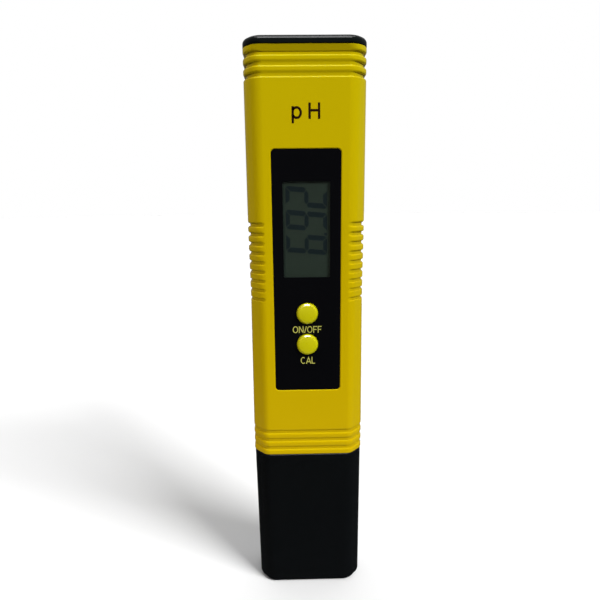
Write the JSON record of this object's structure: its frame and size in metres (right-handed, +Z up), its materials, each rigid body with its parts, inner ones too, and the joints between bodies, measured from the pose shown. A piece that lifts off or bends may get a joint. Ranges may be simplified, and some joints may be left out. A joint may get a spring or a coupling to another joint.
{
  "type": "ph meter",
  "caption": "Pocket pH meter, a flat pen shape: yellow chamfered case with grip ribs, black panel with a display and domed buttons, black battery cap and protective electrode cap.",
  "frame": {"origin": "the middle of the protective cap's base, where the meter stands", "axes": "+Z up along the case, the front with the display faces -Y, +X to the right seen from the front"},
  "size_m": [0.0314, 0.0159, 0.154],
  "materials": {
    "yellow_abs": "satin moulded plastic, greenish yellow",
    "button_yellow": "glossy moulded plastic",
    "black_gloss": "glossy black moulded plastic",
    "black_satin": "satin black moulded plastic",
    "panel_black": "black panel with a soft gloss",
    "clear_window": "clear flat window",
    "lcd": "dark green-grey liquid crystal cell",
    "white_plastic": "white moulded plastic",
    "elastomer": "pink silicone strip",
    "board": "green solder mask",
    "component_black": "black epoxy",
    "component_tan": "tan ceramic chip",
    "steel": "bright steel",
    "nickel": "nickel plated spring metal",
    "silver": "drawn silver wire",
    "wire_red": "red insulation",
    "wire_black": "black insulation",
    "wire_white": "white insulation",
    "seal_rubber": "black rubber",
    "electrode_glass": "thin clear glass",
    "ceramic": "porous white ceramic",
    "potting": "dark potting resin"
  },
  "bodies": {
    "protective_cap": {"protective_cap": "black_gloss"},
    "meter": {"housing": "yellow_abs", "front_panel": "panel_black", "display_window": "clear_window", "lcd_glass": "lcd", "lcd_frame": "white_plastic", "elastomer_strip_left": "elastomer", "elastomer_strip_right": "elastomer", "circuit_board": "board", "power_switch": "component_black", "cal_switch": "component_black", "microcontroller": "component_black", "amplifier_chip": "component_black", "crystal": "steel", "resistors": "component_black", "capacitors": "component_tan", "board_screws": "steel", "battery_holder": "black_satin", "battery_contact_left": "nickel", "battery_contact_right": "nickel", "button_cell_1": "steel", "button_cell_2": "steel", "button_cell_3": "steel", "button_cell_4": "steel", "battery_lead_red": "wire_red", "battery_lead_black": "wire_black", "electrode_collar": "black_satin", "cap_seal": "seal_rubber", "electrode_guard": "black_satin", "glass_electrode": "electrode_glass", "reference_junction": "ceramic", "electrode_plug": "potting", "silver_wire": "silver", "reference_wire": "silver", "signal_lead": "wire_white", "reference_lead": "wire_black"},
    "battery_cap": {"battery_cap": "black_satin", "battery_bridge": "nickel"},
    "power_button": {"power_button": "button_yellow", "power_plunger": "component_black"},
    "cal_button": {"cal_button": "button_yellow", "cal_plunger": "component_black"}
  },
  "joints": [
    {"name": "cap_pull", "type": "slide", "parent": "protective_cap", "child": "meter", "axis": [0, 0, 1], "range_m": [0, 0.045]},
    {"name": "battery_cap_pull", "type": "slide", "parent": "meter", "child": "battery_cap", "axis": [0, 0, 1], "range_m": [0, 0.015]},
    {"name": "power_press", "type": "slide", "parent": "meter", "child": "power_button", "axis": [0, 1, 0], "range_m": [0, 0.0003], "stiffness_N_per_m": 1500},
    {"name": "cal_press", "type": "slide", "parent": "meter", "child": "cal_button", "axis": [0, 1, 0], "range_m": [0, 0.0003], "stiffness_N_per_m": 1500}
  ]
}
